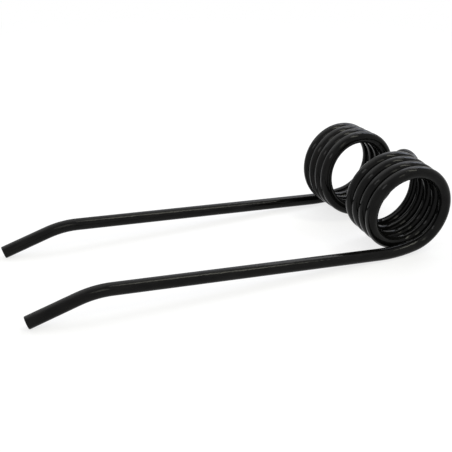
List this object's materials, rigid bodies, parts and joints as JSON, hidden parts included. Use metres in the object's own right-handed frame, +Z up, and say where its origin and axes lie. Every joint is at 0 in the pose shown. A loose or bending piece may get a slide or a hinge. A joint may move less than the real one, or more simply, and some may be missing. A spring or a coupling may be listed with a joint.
{
  "type": "baler pick-up tine",
  "caption": "Spring tine bent from one round wire: coils joined by an arched bolt bridge, and long legs with bent tips that lift crop off the ground into a baler.",
  "frame": {"origin": "middle of the footprint, on the ground that the tine lies on", "axes": "+X from the tips towards the coils, +Y across from one coil to the other, +Z up"},
  "size_m": [0.1908, 0.071, 0.0432],
  "materials": {
    "black_paint": "gloss black paint over spring steel wire"
  },
  "bodies": {
    "root": {"pickup_tine": "black_paint"}
  },
  "joints": []
}
